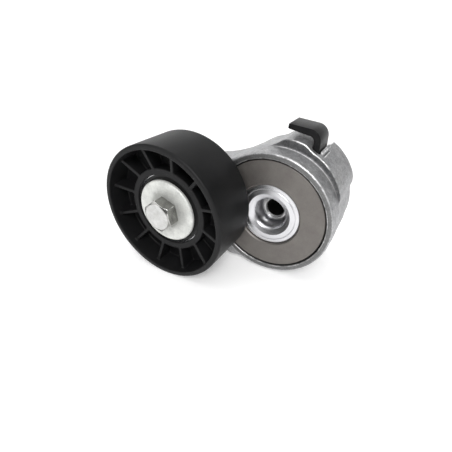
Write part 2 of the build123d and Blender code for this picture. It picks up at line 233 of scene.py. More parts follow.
def solid_from(name, distance, low, high, step):
    """The surface where distance is 0, as a mesh with its points moved onto that surface."""
    low = np.array(low, float)
    counts = np.ceil((np.array(high, float) - low) / step).astype(int) + 1
    xs, ys, zs = (low[k] + step * np.arange(counts[k]) for k in range(3))
    band = 4 * step
    grid = np.empty(counts, np.float32)
    yy, zz = np.meshgrid(ys, zs, indexing="ij")
    for i, x in enumerate(xs):
        grid[i] = np.clip(distance(np.full_like(yy, x), yy, zz), -band, band)
    field = openvdb.FloatGrid(float(band))
    field.copyFromArray(grid)
    points, triangles, quads = field.convertToPolygons(isovalue=0.0, adaptivity=0.0)
    p = points.astype(float) * step + low
    for _ in range(3):
        d = distance(*p.T)
        g = gradient(distance, p, 0.02)
        size = np.maximum((g * g).sum(1), 0.2)
        move = np.clip(d / size, -0.3 * step, 0.3 * step)
        p -= g * move[:, None]
    obj = new_object(name, p, list(triangles) + list(quads))
    face_outward(obj)
    return obj, p


def store(obj, name, values):
    """Keeps one value per point on the mesh, for its material to read."""
    data = obj.data.attributes.new(name, "FLOAT", "POINT").data
    data.foreach_set("value", values.astype(np.float32))


# ------------------------------------------------------------------ arm casting
# radius of the rear housing's outline at each angle, in degrees from +X towards +Z
OUTLINE = [
    (-30, 26.0), (0, 28.5), (8, 29.8), (13, 30.6), (17, 31.6), (20.5, 33.0), (25, 33.9), (30, 34.4),
    (37, 34.7), (45, 35.0), (54, 35.2), (60, 35.2), (63.5, 35.1), (67, 35.6), (69.8, 36.2),
    (72.5, 36.55), (82, 36.55), (88, 35.7), (94, 33.5), (101, 31.7), (106, 30.3), (120, 27.0),
]
OUTLINE_ANGLE = np.linspace(-30, 120, 601)
OUTLINE_RADIUS = np.interp(OUTLINE_ANGLE, *zip(*OUTLINE))
WINDOW = np.hanning(15)
OUTLINE_RADIUS = np.pad(OUTLINE_RADIUS, 6, mode="edge")
OUTLINE_RADIUS = np.convolve(OUTLINE_RADIUS, WINDOW[1:-1] / WINDOW.sum(), "valid")
# the radius at all other angles, where the shell hides the sector
INSIDE_SHELL = 27.0

# radii about the pivot axis
SHELL_RADIUS = 31.3
MOUTH_RADIUS = 29.1
CAVITY_RADIUS = 28.2
BOSS_RADIUS = 17.5
BUSH_BORE_RADIUS = 14.3

# planes across the pivot axis, from the front to the back
NOSE_FRONT = -46.6
NECK_FRONT = -37.4
MOUTH_FLOOR = -33.3
CAVITY_FLOOR = -29.8
CORE_FLOOR = -26.0
BOSS_REAR = -25.8
SLOT_FLOOR = -25.0
NECK_REAR = -11.0

# the slot that the spring leaves by, the lip on its right and the groove beside the lip
SLOT_LEFT, SLOT_RIGHT = 13.4, 17.45
LIP_RIGHT = 18.85
LIP_FRONT, LIP_REAR = -23.9, -10.2
LIP_TOP, LIP_FOOT = 36.1, 30.0
GROOVE_LEFT, GROOVE_RIGHT = 18.8, 19.4
GROOVE_FRONT, GROOVE_REAR = -23.8, -13.5
GROOVE_FLOOR = 34.1

WEB_CORNER = (-21.0, -25.9)
SPOKE_ANGLES = (20, 140, -100)
STOP_ANGLES = (249.1 - 360, 318.9 - 360)
STOP_HALF_ANGLE = 6
# a distance that adds nothing to a body and cuts nothing from it
FAR_OUTSIDE = 9.0


def shell(r, y):
    """The round housing, a little wider towards the middle than at its two ends."""
    widen = 0.15 * np.clip((y - RIM_Y) / 10, 0, 1)
    narrow = 0.3 * np.clip((y - LEDGE_Y) / (REAR_Y - LEDGE_Y), 0, 1)
    return smax(r - (SHELL_RADIUS + widen - narrow), slab(y, RIM_Y, REAR_Y), 0.45)


def sector(r, y, angle):
    """The part of the housing that stands out behind the flat ledge."""
    edge = np.interp(angle, OUTLINE_ANGLE, OUTLINE_RADIUS, left=INSIDE_SHELL, right=INSIDE_SHELL)
    draft = -0.15 * np.clip((y - LEDGE_Y) / 20, 0, 1)
    return smax((r - edge - draft) * 0.96, slab(y, LEDGE_Y, REAR_Y), 0.35)


def lip(x, y, z, r):
    """The raised lip along the slot's right side."""
    part = smax(slab(x, SLOT_RIGHT, LIP_RIGHT), slab(y, LIP_FRONT, LIP_REAR), 0.5)
    part = smax(part, np.maximum(r - LIP_TOP, LIP_FOOT - r), 0.35)
    return np.where(z > 20, part, FAR_OUTSIDE)


def foot(x, y, z, r):
    """The thicker wall at the bottom, which falls off between 12 and 20 degrees from straight down."""
    below = np.abs(np.degrees(np.arctan2(-x, -z)))
    edge = 33.27 - 3.2 * step_up(below, 12, 20)
    part = smax((r - edge) * 0.95, slab(y, -30.0, -2.0), 1.2)
    return np.where(below < 25, part, 5.0)


def neck(x, y, z):
    """The arm itself; behind, the upper side lies up to 1.1 mm lower along the middle of its length."""
    px, pz = PULLEY
    span = math.hypot(px, pz)
    along = (x * px + z * pz) / span
    upper = step_up((x * pz - z * px) / span, 5, 15)
    dip = 1.1 * step_up(y, -25, -20) * step_up(along, 8, 18) * (1 - step_up(along, 30, 42)) * upper
    outline = two_circles(x, z, 0, 0, 31.1, px, pz, 14.2)
    return smax(outline + dip, slab(y, NECK_FRONT, NECK_REAR), 1.1)


def web(x, y, z):
    """The front wall that fills the corner under the arm."""
    cx, cz = WEB_CORNER
    px, pz = PULLEY
    to_housing = two_circles(x, z, 0, 0, 31.0, cx, cz, 5.0)
    to_pulley = two_circles(x, z, cx, cz, 5.0, px, pz, 13.0)
    return smax(smin(to_housing, to_pulley, 2.0), slab(y, NECK_FRONT, -29.0), 1.6)


def slot(x, y, z):
    """The opening in the housing's top that the spring's tail comes out of."""
    sides = np.maximum(slab(x, SLOT_LEFT, SLOT_RIGHT), 22.0 - z)
    return smax(sides, SLOT_FLOOR - y, 1.3)


def groove(x, y, z, r):
    """The narrow groove between the lip and the rest of the sector."""
    part = np.maximum(slab(y, GROOVE_FRONT, GROOVE_REAR), GROOVE_FLOOR - r)
    part = np.maximum(slab(x, GROOVE_LEFT, GROOVE_RIGHT), part)
    return np.where(z > 20, part, FAR_OUTSIDE)


def core(x, y, z, pr):
    """The ring pocket in the arm's end, open behind and crossed by three spokes."""
    pocket = np.maximum(slab(pr, 7.6, 10.8), CORE_FLOOR - y)
    turn = np.degrees(np.arctan2(z - PULLEY[1], x - PULLEY[0]))
    for spoke in SPOKE_ANGLES:
        away = np.radians(turn - spoke)
        rib = np.where(np.cos(away) > 0, np.abs(np.sin(away)) * pr - 1.3, FAR_OUTSIDE)
        pocket = smax(pocket, -rib, 0.8)
    return pocket


def stop(r, y, angle, start):
    """One of the two lugs that meet the base plate's tang at the ends of the swing."""
    middle = start + STOP_HALF_ANGLE
    away = np.abs((angle - middle + 180) % 360 - 180)
    part = np.maximum(slab(r, 24.5, 29.5), (away - STOP_HALF_ANGLE) * 0.45)
    return smax(part, slab(y, -9.0, -4.8), 0.6)


def arm_distance(x, y, z):
    r = np.hypot(x, z)
    angle = np.degrees(np.arctan2(z, x))
    pr = np.hypot(x - PULLEY[0], z - PULLEY[1])

    body = smin(shell(r, y), sector(r, y, angle), 0.8)
    body = smin(body, lip(x, y, z, r), 0.3)
    body = smin(body, foot(x, y, z, r), 1.2)
    body = smin(body, neck(x, y, z), 2.2)
    body = smin(body, web(x, y, z), 2.5)
    nose = smax(pr - 12.0, slab(y, NOSE_FRONT, -30.0), 0.7)
    body = smin(body, nose, 3.0)

    mouth = smax(r - MOUTH_RADIUS, y - MOUTH_FLOOR, 0.3)
    body = smax(body, -mouth, 0.3)
    cavity = smax(r - CAVITY_RADIUS, CAVITY_FLOOR - y, 1.5)
    boss = smax(r - BOSS_RADIUS, y - BOSS_REAR, 0.6)
    body = smax(body, -smax(cavity, -boss, 1.0), 0.5)
    body = smax(body, -(r - BUSH_BORE_RADIUS), 0.4)

    body = smax(body, -slot(x, y, z), 0.5)
    body = smax(body, -groove(x, y, z, r), 0.15)
    body = smax(body, -core(x, y, z, pr), 0.8)
    body = smax(body, -(pr - 5.0), 0.3)

    for start in STOP_ANGLES:
        body = smin(body, stop(r, y, angle, start), 0.5)
    return body


def machined_faces(r, y):
    rim = (r < 31.4) & (y < RIM_Y + 0.25)
    mouth = (r < 29.2) & (y < -33.0)
    bore = r < 14.6
    seat = y < -46.3
    back = (y > REAR_Y - 0.15) & (r < 30.8)
    return rim | bore | mouth | seat | back


def casting_looks(p, normal):
    """Brightness of the edges, as painted highlight and partly wear, and the painted shade of the ledge
    with a darker rim face, where the photograph shows them.
    """
    x, y, z = p.T
    r = np.hypot(x, z)
    angle = np.degrees(np.arctan2(z, x))
    facing = np.clip(-normal[:, 1], 0, 1)

    # Painted highlight, partly wear: outer edges are painted bright, weighted by the angles where the
    # light catches them.
    bend = curvature(arm_distance, p, 0.35)
    edge_patchiness = 0.75 + 0.9 * lattice_noise(p, 1.3, 4) + 0.5 * lattice_noise(p, 5.0, 5)
    wear_and_highlight = np.clip((bend - 0.3) / 1.1, 0, 1) * np.clip(edge_patchiness, 0.1, 1.4)
    ledge_edge = (r > 32.0) & (y < -26.5) & (y > -29)
    ledge_highlight_by_angle = (1 - step_up(angle, 79, 85)) * (0.35 + 0.65 * step_up(angle, 40, 58))
    wear_and_highlight = wear_and_highlight * np.where(ledge_edge, ledge_highlight_by_angle, 1.0)
    rim_highlight_by_angle = 0.15 + 0.85 * step_up(angle, 24, 42) * (1 - step_up(angle, 82, 92))
    wear_and_highlight = wear_and_highlight * np.where((r > 30.4) & (y < -37.0), rim_highlight_by_angle, 1.0)

    # Painted highlight: a bright line along the concave fillet behind the cup wall, where it half faces
    # the front.
    fillet = (r > 31.2) & (r < 32.3) & (y > -29.2) & (y < -27.7)
    fillet = fillet * np.clip(facing * (1 - facing) * 5 - 0.2, 0, 1) * (1 - step_up(angle, 88, 94))
    wear_and_highlight = np.maximum(wear_and_highlight, fillet * (0.1 + 0.9 * step_up(angle, 22, 45)))

    # Painted shade: the flat ledge face is painted darker where it faces the front.
    ledge = (r > 31.9) & (y > -28.5) & (y < -27.4) & (z > 0) & (x > -12)
    ledge_shade_and_rim_tone = 1.0 - 0.66 * ledge * facing * (1 - fillet)
    # The rim's front face is painted darker.
    ledge_shade_and_rim_tone = np.where((r < SHELL_RADIUS) & (y < -37.6), 0.62, ledge_shade_and_rim_tone)
    return wear_and_highlight, ledge_shade_and_rim_tone


def casting():
    step = 0.34
    obj, p = solid_from("arm_body", arm_distance, (-60, -48.5, -35.5), (38, 0.5, 38.5), step)
    normal = gradient(arm_distance, p, 0.05)
    normal /= np.maximum(np.linalg.norm(normal, axis=1), 1e-6)[:, None]
    machined = machined_faces(np.hypot(p[:, 0], p[:, 2]), p[:, 1])
    skin = 0.035 * lattice_noise(p, 0.9, 1) + 0.04 * lattice_noise(p, 2.4, 2)
    skin = skin + 0.04 * lattice_noise(p, 9.0, 3)
    wear_and_highlight, ledge_shade_and_rim_tone = casting_looks(p, normal)
    p = p + normal * (skin * ~machined)[:, None]
    obj.data.vertices.foreach_set("co", (p * MM).astype(np.float32).ravel())
    store(obj, "machined", machined)
    # Painted highlights and painted shade go to the material as point values.
    store(obj, "wear_and_highlight", wear_and_highlight)
    store(obj, "ledge_shade_and_rim_tone", ledge_shade_and_rim_tone)
    obj.data.update()
    return obj


# ------------------------------------------------------------------ materials
class Graph:
    """A short way to write a material's node tree."""

    def __init__(self, name):
        self.material = bpy.data.materials.new(name)
        self.material.use_nodes = True
        self.tree = self.material.node_tree
        self.tree.nodes.clear()
        self.output = self.node("ShaderNodeOutputMaterial")
        self.shader = self.node("ShaderNodeBsdfPrincipled")
        self.link(self.shader.outputs["BSDF"], self.output.inputs["Surface"])
        self.place = self.node("ShaderNodeTexCoord").outputs["Object"]

    def node(self, kind, **values):
        n = self.tree.nodes.new(kind)
        for key, value in values.items():
            setattr(n, key, value)
        return n

    def link(self, a, b):
        self.tree.links.new(a, b)

    def set(self, **values):
        for key, value in values.items():
            self.shader.inputs[key.replace("_", " ").title().replace("Ior", "IOR")].default_value = value

    def noise(self, size_mm, detail=3.0, rough=0.55, stretch=None):
        place = self.place
        if stretch:
            m = self.node("ShaderNodeMapping")
            m.inputs["Scale"].default_value = stretch
            self.link(place, m.inputs["Vector"])
            place = m.outputs["Vector"]
        n = self.node("ShaderNodeTexNoise")
        n.inputs["Scale"].default_value = 1 / (size_mm * MM)
        n.inputs["Detail"].default_value = detail
        n.inputs["Roughness"].default_value = rough
        self.link(place, n.inputs["Vector"])
        return n.outputs["Fac"]

    def attribute(self, name):
        return self.node("ShaderNodeAttribute", attribute_name=name).outputs["Fac"]

    def spots(self, size_mm, low, high):
        v = self.node("ShaderNodeTexVoronoi")
        v.inputs["Scale"].default_value = 1 / (size_mm * MM)
        self.link(self.place, v.inputs["Vector"])
        return self.ramp(v.outputs["Distance"], [(low, (1, 1, 1)), (high, (0, 0, 0))])

    def ramp(self, fac, stops):
        n = self.node("ShaderNodeValToRGB")
        e = n.color_ramp.elements
        while len(e) < len(stops):
            e.new(0.5)
        for el, (at, col) in zip(e, stops):
            el.position = at
            el.color = (*col, 1) if isinstance(col, tuple) else (col, col, col, 1)
        self.link(fac, n.inputs["Fac"])
        return n.outputs["Color"]

    def mix(self, fac, a, b, kind="MIX"):
        n = self.node("ShaderNodeMix", data_type="RGBA", blend_type=kind)
        if isinstance(fac, (int, float)):
            n.inputs[0].default_value = fac
        else:
            self.link(fac, n.inputs[0])
        for socket, value in ((n.inputs[6], a), (n.inputs[7], b)):
            if isinstance(value, tuple):
                socket.default_value = (*value, 1)
            else:
                self.link(value, socket)
        return n.outputs[2]

    def math(self, op, a, b=0.0):
        n = self.node("ShaderNodeMath", operation=op)
        for socket, value in zip(n.inputs, (a, b)):
            if isinstance(value, (int, float)):
                socket.default_value = value
            else:
                self.link(value, socket)
        return n.outputs[0]

    def bump(self, height, strength, distance_mm, previous=None):
        n = self.node("ShaderNodeBump")
        n.inputs["Strength"].default_value = strength
        n.inputs["Distance"].default_value = distance_mm * MM
        self.link(height, n.inputs["Height"])
        if previous is not None:
            self.link(previous, n.inputs["Normal"])
        return n.outputs["Normal"]

    def radius(self, axis):
        """Distance from an axis along Y, in mm."""
        n = self.node("ShaderNodeSeparateXYZ")
        self.link(self.place, n.inputs[0])
        dx = self.math("SUBTRACT", n.outputs["X"], axis[0] * MM)
        dz = self.math("SUBTRACT", n.outputs["Z"], axis[1] * MM)
        squares = self.math("ADD", self.math("MULTIPLY", dx, dx), self.math("MULTIPLY", dz, dz))
        return self.math("MULTIPLY", self.math("SQRT", squares), 1 / MM)

    def turned(self, axis, per_mm):
        """Fine rings round an axis, as a tool leaves them on a turned face."""
        n = self.node("ShaderNodeTexNoise", noise_dimensions="1D")
        n.inputs["Scale"].default_value = per_mm
        n.inputs["Detail"].default_value = 2.0
        self.link(self.radius(axis), n.inputs["W"])
        return n.outputs["Fac"]

    def finish(self, color=None, rough=None, normal=None):
        if color is not None:
            self.link(color, self.shader.inputs["Base Color"])
        if rough is not None:
            self.link(rough, self.shader.inputs["Roughness"])
        if normal is not None:
            self.link(normal, self.shader.inputs["Normal"])
        return self.material


def cast_aluminium():
    g = Graph("cast_aluminium")
    g.set(metallic=0.8)
    cloud = g.noise(8, 5, 0.65)
    middle = g.noise(2.2, 4, 0.7)
    fine = g.noise(0.75, 4, 0.75)
    dark, usual, light = (0.315, 0.315, 0.328), (0.41, 0.41, 0.418), (0.505, 0.505, 0.505)
    base = g.ramp(cloud, [(0.3, dark), (0.52, usual), (0.75, light)])
    cast = g.mix(1.0, base, g.ramp(middle, [(0.30, 0.74), (0.52, 1.0), (0.75, 1.26)]), "MULTIPLY")
    cast = g.mix(1.0, cast, g.ramp(fine, [(0.30, 0.66), (0.52, 1.0), (0.75, 1.36)]), "MULTIPLY")
    pits = g.spots(1.9, 0.02, 0.12)
    cast = g.mix(g.math("MULTIPLY", pits, 0.5), cast, (0.12, 0.12, 0.12))
    # Painted shade on the ledge and a darker rim face.
    cast = g.mix(1.0, cast, g.attribute("ledge_shade_and_rim_tone"), "MULTIPLY")
    # Painted highlight, partly wear: edges mixed towards white.
    wear_and_highlight = g.attribute("wear_and_highlight")
    cast = g.mix(wear_and_highlight, cast, (1.0, 1.0, 1.0))
    mask = g.attribute("machined")
    lines = g.turned(PIVOT, 3.5)
    cut = g.ramp(lines, [(0.3, (0.12, 0.12, 0.12)), (0.7, (0.24, 0.24, 0.24))])
    cut = g.mix(1.0, cut, g.ramp(fine, [(0.30, 0.72), (0.52, 1.0), (0.75, 1.30)]), "MULTIPLY")
    # Painted highlight, partly wear, on the machined edges too.
    cut = g.mix(wear_and_highlight, cut, (0.6, 0.6, 0.6))
    color = g.mix(mask, cast, cut)
    rough = g.mix(mask, g.ramp(cloud, [(0.3, 0.42), (0.7, 0.54)]), (0.42, 0.42, 0.42))
    rough = g.mix(wear_and_highlight, rough, (0.32, 0.32, 0.32))
    skin = g.bump(fine, 0.8, 0.14)
    skin = g.bump(middle, 0.5, 0.25, skin)
    return g.finish(color, rough, skin)


def turned_aluminium():
    g = Graph("turned_aluminium")
    g.set(metallic=1.0)
    lines = g.turned(PIVOT, 5.0)
    cloud = g.noise(6, 3)
    color = g.mix(cloud, (0.70, 0.70, 0.72), (0.86, 0.86, 0.88))
    color = g.mix(0.5, color, g.ramp(lines, [(0.3, 0.72), (0.7, 1.0)]), "MULTIPLY")
    rough = g.ramp(lines, [(0.3, 0.27), (0.7, 0.37)])
    return g.finish(color, rough, g.bump(lines, 0.22, 0.04))


def disc_steel():
    g = Graph("disc_steel")
    g.set(metallic=0.75)
    cloud = g.noise(7, 4, 0.6)
    fine = g.noise(0.35, 3, 0.6)
    color = g.ramp(cloud, [(0.3, (0.170, 0.156, 0.147)), (0.7, (0.216, 0.204, 0.189))])
    color = g.mix(0.6, color, g.ramp(fine, [(0.3, 0.86), (0.7, 1.06)]), "MULTIPLY")
    rough = g.ramp(cloud, [(0.3, 0.46), (0.7, 0.54)])
    return g.finish(color, rough, g.bump(fine, 0.18, 0.03))


def zinc_steel(name, tint, rough_low, rough_high, metallic=0.8, painted_glow=0.0):
    g = Graph(name)
    g.set(metallic=metallic)
    # Emission is painted light: the part lights itself though it is no lamp.
    if painted_glow:
        g.set(emission_color=(1, 1, 0.97, 1), emission_strength=painted_glow)
    cloud = g.noise(3.2, 5, 0.65)
    fine = g.noise(0.4, 4, 0.7)
    dark, middle, light = ([c * k for c in tint] for k in (0.68, 0.9, 1.0))
    color = g.ramp(cloud, [(0.32, tuple(dark)), (0.55, tuple(middle)), (0.7, tuple(light))])
    color = g.mix(0.7, color, g.ramp(fine, [(0.3, 0.85), (0.65, 1.05)]), "MULTIPLY")
    rough = g.ramp(cloud, [(0.3, rough_high), (0.7, rough_low)])
    return g.finish(color, rough, g.bump(fine, 0.25, 0.03))


def bolt_steel():
    """Painted light and shade: the front face painted bright, the flats painted dark, and painted
    highlights on the edges.
    """
    g = Graph("bolt_steel")
    g.set(metallic=0.85)
    cloud = g.noise(2.6, 5, 0.65)
    fine = g.noise(0.35, 4, 0.7)
    place = g.node("ShaderNodeSeparateXYZ")
    g.link(g.place, place.inputs[0])
    # 0 at 0.3 mm in front of the head, 1 at 2 mm behind that
    depth = g.math("MULTIPLY", g.math("ADD", place.outputs["Y"], 0.0695), 500)
    front = g.ramp(depth, [(0.18, 1.0), (0.26, 0.0)])
    # Painted shade on the flats; painted light on the front face.
    side = g.ramp(cloud, [(0.3, (0.17, 0.17, 0.163)), (0.7, (0.38, 0.38, 0.36))])
    dark, usual, light = (0.50, 0.50, 0.48), (0.61, 0.61, 0.60), (0.69, 0.69, 0.68)
    face = g.ramp(cloud, [(0.3, dark), (0.55, usual), (0.7, light)])
    color = g.mix(front, side, face)
    color = g.mix(0.7, color, g.ramp(fine, [(0.3, 0.84), (0.65, 1.06)]), "MULTIPLY")
    # Painted highlight, partly wear, on the head's edges.
    color = g.mix(g.attribute("wear_and_highlight"), color, (0.9, 0.9, 0.88))
    rough = g.mix(front, g.ramp(cloud, [(0.3, 0.20), (0.7, 0.14)]), (0.4, 0.4, 0.4))
    return g.finish(color, rough, g.bump(fine, 0.2, 0.02))


def sleeve_steel():
    """Bright on its end; the bore is painted almost black, as painted shade."""
    g = Graph("sleeve_steel")
    g.set(metallic=0.9)
    lines = g.turned(PIVOT, 6.0)
    # Painted shade: the bore is painted almost black and rough.
    painted_bore_shade = g.ramp(g.math("MULTIPLY", g.radius(PIVOT), 0.1), [(0.455, 1.0), (0.475, 0.0)])
    color = g.mix(painted_bore_shade, g.mix(lines, (0.42, 0.42, 0.42), (0.56, 0.56, 0.56)), (0.006, 0.006, 0.006))
    rough = g.mix(painted_bore_shade, g.ramp(lines, [(0.3, 0.22), (0.7, 0.32)]), (0.85, 0.85, 0.85))
    return g.finish(color, rough, g.bump(lines, 0.2, 0.03))


def bearing_steel():
    g = Graph("bearing_steel")
    g.set(metallic=1.0)
    lines = g.turned(PULLEY, 7.0)
    color = g.mix(lines, (0.62, 0.62, 0.64), (0.72, 0.72, 0.73))
    return g.finish(color, g.ramp(lines, [(0.3, 0.16), (0.7, 0.26)]), g.bump(lines, 0.1, 0.02))


def spring_black():
    g = Graph("spring_black")
    g.set(metallic=0.0, specular_ior_level=0.11)
    cloud = g.noise(4, 4, 0.6)
    fine = g.noise(0.3, 3, 0.6)
    color = g.ramp(cloud, [(0.3, (0.007, 0.007, 0.0075)), (0.7, (0.014, 0.014, 0.0145))])
    chips = g.spots(1.7, 0.015, 0.05)
    color = g.mix(g.math("MULTIPLY", chips, 0.25), color, (0.10, 0.10, 0.10))
    rough = g.ramp(fine, [(0.3, 0.30), (0.7, 0.42)])
    return g.finish(color, rough, g.bump(fine, 0.3, 0.03))


def pulley_black():
    g = Graph("pulley_black")
    g.set(specular_ior_level=0.2)
    cloud = g.noise(11, 4, 0.6)
    fine = g.noise(0.25, 3, 0.6)
    color = g.ramp(cloud, [(0.3, (0.007, 0.007, 0.0075)), (0.7, (0.012, 0.012, 0.0125))])
    rough = g.mix(0.5, g.ramp(cloud, [(0.3, 0.42), (0.7, 0.52)]), g.ramp(fine, [(0.3, 0.42), (0.7, 0.54)]))
    return g.finish(color, rough, g.bump(fine, 0.25, 0.03))


def plain(name, low, high, rough_low, rough_high, size=3.0):
    g = Graph(name)
    cloud = g.noise(size, 4, 0.6)
    color = g.ramp(cloud, [(0.3, low), (0.7, high)])
    rough = g.ramp(cloud, [(0.3, rough_low), (0.7, rough_high)])
    return g.finish(color, rough, g.bump(g.noise(0.4, 3), 0.25, 0.03))


MATERIALS = {
    "cast": cast_aluminium(),
    "turned": turned_aluminium(),
    "disc": disc_steel(),
    "zinc": zinc_steel("zinc_steel", (0.74, 0.75, 0.72), 0.38, 0.50),
    "bolt": bolt_steel(),
    # The dust washer and slinger give off a little light: painted light that lifts the shade round the
    # bolt head.
    "washer": zinc_steel("washer_steel", (0.69, 0.70, 0.67), 0.40, 0.52, 0.3, painted_glow=0.1),
    "sleeve": sleeve_steel(),
    "bearing": bearing_steel(),
    "spring": spring_black(),
    "pulley": pulley_black(),
    "bush": plain("bush_polymer", (0.035, 0.033, 0.030), (0.06, 0.057, 0.052), 0.55, 0.7),
    "cage": plain("cage_polymer", (0.42, 0.34, 0.19), (0.50, 0.42, 0.26), 0.45, 0.6),
    "seal": plain("seal_rubber", (0.008, 0.008, 0.008), (0.014, 0.014, 0.014), 0.5, 0.65),
}


def dress(obj, material, body, slot, *replaced):
    obj.data.materials.clear()
    obj.data.materials.append(MATERIALS[material])
    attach(obj, body)
    if replaced:
        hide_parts(*replaced)
    return obj


# ------------------------------------------------------------------ pieces
dress(casting(), "cast", "arm", "cast_aluminium", "arm_casting")

HUB_PROFILE = [
    (6.6, -26.2, 0), (7.4, -26.4, 0.5), (7.9, -27.2, 0.6), (7.9, -35.5, 2.6), (10.9, -37.05, 0.3),
    (11.2, -37.25, 0.2), (11.6, -37.25, 0.3), (13.4, -37.1, 0.3), (13.7, -36.85, 0.15),
    (14.0, -37.05, 0.3), (15.6, -36.85, 0.3), (16.1, -36.5, 0.2), (16.1, -35.8, 0),
    (17.2, -35.8, 0.1), (17.2, -33.65, 0.1), (13.0, -33.65, 0), (13.0, -4.0, 0.1),
    (11.0, -4.0, 0), (11.0, 0, 0.2), (6.6, 0, 0),
]
SLEEVE_PROFILE = [
    (4.5, -27.5, 0.3), (5.2, -28.6, 0.25), (5.5, -28.7, 0.15), (6.35, -28.7, 0.25), (6.6, -28.4, 0.1),
    (6.6, 0, 0.2), (4.5, 0, 0.3),
]
DISC_PROFILE = [
    (16.2, -37.5, 0.1), (16.75, -38.0, 0.15), (28.1, -38.0, 0.25), (28.45, -37.6, 0.2),
    (28.45, -35.8, 0.2), (16.2, -35.8, 0.1),
]

dress(
    lathe("hub_face", HUB_PROFILE, segments=256),
    "turned", "base", "machined_aluminium", "pivot_shaft",
)
dress(
    lathe("sleeve", SLEEVE_PROFILE),
    "sleeve", "base", "zinc_steel", "bolt_sleeve",
)
dress(
    lathe("disc_plate", DISC_PROFILE, segments=256),
    "disc", "base", "disc_steel", "thrust_disc",
)


# ------------------------------------------------------------------ spring
def sweep(name, path, half_thick, y_front, y_rear, edge, tip_cut):
    """A strip with rounded edges along a path in X and Z; tip_cut thins its last points on one side."""
    path = np.array(path, float)
    cut = np.zeros(len(path))
    cut[-len(tip_cut):] = tip_cut
    along = np.gradient(path, axis=0)
    along /= np.linalg.norm(along, axis=1)[:, None]
    side = np.stack([-along[:, 1], along[:, 0]], 1)
    section = []
    corners = ((1, y_rear, 0), (-1, y_rear, 90), (-1, y_front, 180), (1, y_front, 270))
    for across, y, start in corners:
        mid = (across * (half_thick - edge), y - math.copysign(edge, y - (y_front + y_rear) / 2))
        for k in range(5):
            a = math.radians(start + 90 * k / 4)
            section.append((mid[0] + edge * math.cos(a), mid[1] + edge * math.sin(a)))
    n = len(section)
    verts = [
        (p[0] + d[0] * (s - c * (s > 0)), y, p[1] + d[1] * (s - c * (s > 0)))
        for p, d, c in zip(path, side, cut)
        for s, y in section
    ]
    faces = [
        (i * n + k, i * n + (k + 1) % n, (i + 1) * n + (k + 1) % n, (i + 1) * n + k)
        for i in range(len(path) - 1)
        for k in range(n)
    ]
    faces += [tuple(range(n)), tuple(range((len(path) - 1) * n, len(path) * n))]
    obj = new_object(name, verts, faces)
    face_outward(obj)
    return obj


def polar(radius, angle):
    return radius * math.cos(math.radians(angle)), radius * math.sin(math.radians(angle))


def arc(centre, radius, start, end, count):
    return [
        (centre[0] + c, centre[1] + s)
        for c, s in (polar(radius, start + (end - start) * i / count) for i in range(count + 1))
    ]


# the strip's path in X and Z: a spiral, a bend into the slot, a straight rise and a hooked end
COIL_RADIUS, COIL_GROWTH = 15.9, 10.4
COIL_TURNS, COIL_END_ANGLE = 2.62, 72.0
BEND_RADIUS = 3.7
HOOK_X, HOOK_Z = 15.5, 35.3
HOOK_RADIUS, HOOK_TURN = 4.2, 83.5
STRIP_HALF, STRIP_EDGE = 1.6, 0.45
STRIP_FRONT, STRIP_REAR = -24.7, -10.7
TAIL_LENGTHS = (0.7, 1, 4, 7, 10.1, 10.4)
TIP_CUT = (0.0, 0.05, 0.3, 0.58, 0.85, 1.1)


def spring_line():
    """The strip's centre line: inner tang, spiral, rise through the slot, bend and flat tail."""
    def coil(t):
        radius = COIL_RADIUS + COIL_GROWTH * t
        return polar(radius, COIL_END_ANGLE + 360 * COIL_TURNS * (1 - t))

    first, last = coil(0), coil(1)
    base = math.degrees(math.atan2(first[1], first[0]))
    lead = [polar(9.0, base + 17), polar(10.6, base + 15)]
    inner = arc(polar(12.9, base), 3.0, base + 70, base + 15, 6)
    spiral = [coil(i / 260) for i in range(2, 261)]
    slope = math.radians(COIL_END_ANGLE - 90)
    cos, sin = math.cos(slope), math.sin(slope)
    run = (HOOK_X - last[0] - BEND_RADIUS * (1 - sin)) / cos
    centre = (last[0] + run * cos - BEND_RADIUS * sin, last[1] + run * sin + BEND_RADIUS * cos)
    outer = arc(centre, BEND_RADIUS, math.degrees(slope) - 90, 0, 12)
    rise = [(HOOK_X, centre[1] + (HOOK_Z - centre[1]) * i / 8) for i in range(1, 8)]
    hook = arc((HOOK_X - HOOK_RADIUS, HOOK_Z), HOOK_RADIUS, 0, HOOK_TURN, 18)
    heading = math.radians(90 + HOOK_TURN)
    x, z = hook[-1]
    tail = [(x + s * math.cos(heading), z + s * math.sin(heading)) for s in TAIL_LENGTHS]
    return lead + inner + spiral + outer + rise + hook + tail


dress(
    sweep("spring_strip", spring_line(), STRIP_HALF, STRIP_FRONT, STRIP_REAR, STRIP_EDGE, TIP_CUT),
    "spring", "arm", "black_spring", "torsion_spring",
)


# ------------------------------------------------------------------ bolt, washers, bearing
HEAD_FRONT, HEAD_REAR = -69.2, -62.34
HEAD_HALF_FLATS = 7.2
HEAD_TURN = 69.0
CROWN_RADIUS, CROWN_SLOPE = 6.45, 1.73
SHANK_RADIUS, THREAD_ROOT, THREAD_CREST = 4.95, 4.3, 4.9
THREAD_START, SHANK_REAR = -32.0, -18.0


def head_distance(x, y, z):
    x, z = x - PULLEY[0], z - PULLEY[1]
    r = np.hypot(x, z)
    body = slab(y, HEAD_FRONT, HEAD_REAR)
    for k in range(6):
        a = math.radians(HEAD_TURN + 60 * k)
        body = smax(body, x * math.cos(a) + z * math.sin(a) - HEAD_HALF_FLATS, 0.22)
    crown = ((r - CROWN_RADIUS) - (y - HEAD_FRONT) * CROWN_SLOPE) / 2.0
    return smax(body, crown, 0.12)


